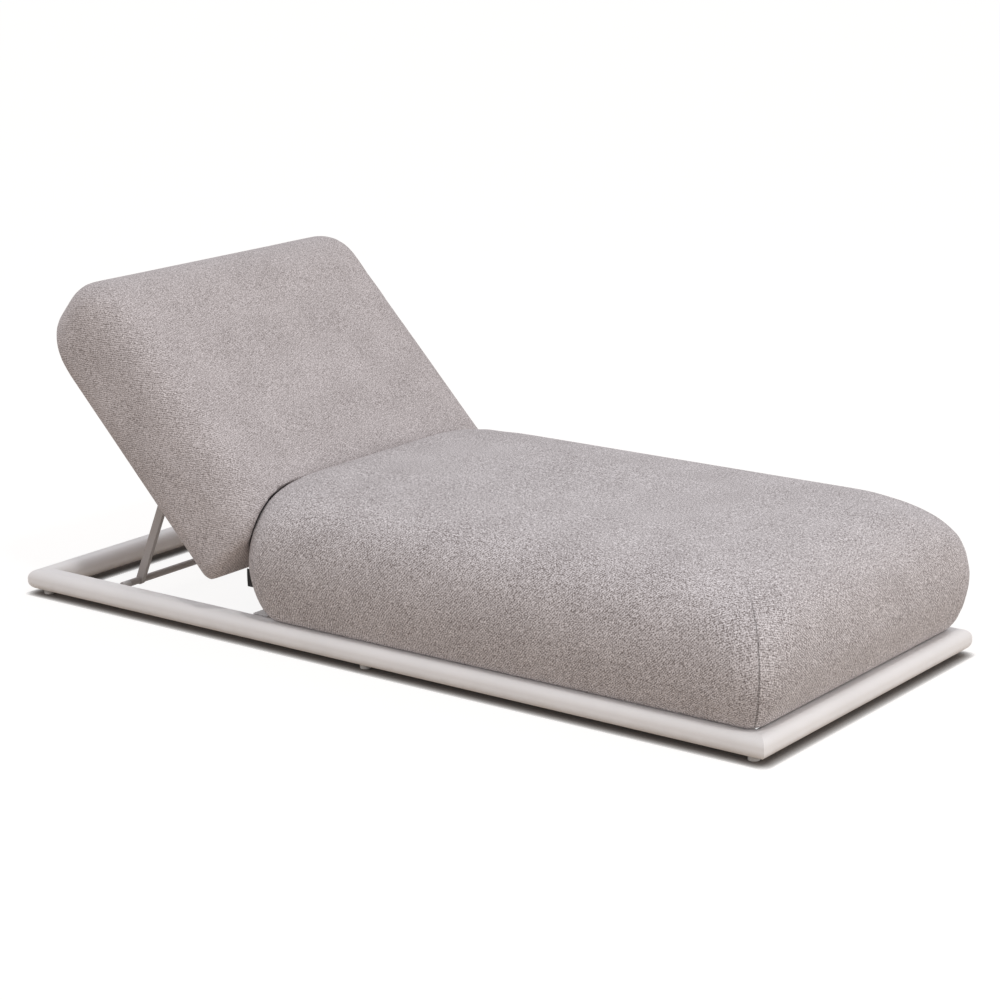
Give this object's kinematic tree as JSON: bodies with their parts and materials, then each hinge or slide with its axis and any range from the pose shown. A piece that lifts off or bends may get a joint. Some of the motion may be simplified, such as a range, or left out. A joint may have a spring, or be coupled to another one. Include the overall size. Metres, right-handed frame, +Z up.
{
  "type": "outdoor daybed",
  "caption": "Low outdoor daybed: mitred tube frame on glides, thick upholstered seat cushion and a padded backrest that tilts on a hinge and is held by a folding prop.",
  "frame": {"origin": "on the floor, at the middle of the whole outline", "axes": "+X to the foot end, -X to the raised head end, +Z up, -Y the side the picture shows"},
  "size_m": [2.0133, 0.875, 0.7448],
  "materials": {
    "powder_coat": "satin",
    "prop_coat": "satin",
    "cushion_fabric": "matte",
    "foam": "matte",
    "tab_fabric": "matte",
    "glide_plastic": "satin",
    "sleeve_rubber": "matte",
    "stainless": "satin",
    "bush_plastic": "matte"
  },
  "bodies": {
    "base": {"deck_screws": "stainless", "foot_rail": "powder_coat", "glide_1": "glide_plastic", "glide_2": "glide_plastic", "glide_3": "glide_plastic", "glide_4": "glide_plastic", "glide_5": "glide_plastic", "glide_6": "glide_plastic", "glide_screws": "stainless", "head_rail": "powder_coat", "hinge_bearer": "powder_coat", "left_hinge_arm": "powder_coat", "left_hinge_bush": "bush_plastic", "left_notch_rack": "powder_coat", "left_side_rail": "powder_coat", "right_hinge_arm": "powder_coat", "right_hinge_bush": "bush_plastic", "right_notch_rack": "powder_coat", "right_side_rail": "powder_coat", "seat_bearer_1": "powder_coat", "seat_bearer_2": "powder_coat", "seat_bearer_3": "powder_coat", "seat_bearer_4": "powder_coat", "seat_cover": "cushion_fabric", "seat_deck_panel": "powder_coat", "seat_foam": "foam", "seat_tab": "tab_fabric"},
    "backrest": {"back_cover": "cushion_fabric", "back_foam": "foam", "back_frame_left_tube": "powder_coat", "back_frame_lower_tube": "powder_coat", "back_frame_middle_tube": "powder_coat", "back_frame_right_tube": "powder_coat", "back_frame_upper_tube": "powder_coat", "back_panel": "powder_coat", "left_hinge_pin": "stainless", "left_hinge_plate": "powder_coat", "left_prop_lug": "prop_coat", "left_prop_pin": "stainless", "right_hinge_pin": "stainless", "right_hinge_plate": "powder_coat", "right_prop_lug": "prop_coat", "right_prop_pin": "stainless"},
    "prop": {"left_foot_sleeve": "sleeve_rubber", "left_prop_leg": "prop_coat", "prop_foot_bar": "prop_coat", "right_foot_sleeve": "sleeve_rubber", "right_prop_leg": "prop_coat"}
  },
  "joints": [
    {"name": "backrest_recline", "type": "hinge", "parent": "base", "child": "backrest", "pos_m": [-0.3612, 0, 0.195], "axis": [0, 1, 0], "range_deg": [-46, 0]},
    {"name": "prop_fold", "type": "hinge", "parent": "backrest", "child": "prop", "pos_m": [-0.64452, 0, 0.29952], "axis": [0, 1, 0], "range_deg": [0, 110.5]}
  ],
  "couplings": [
    {"joint": "prop_fold", "follows": "backrest_recline", "ratio": -2.3913}
  ]
}
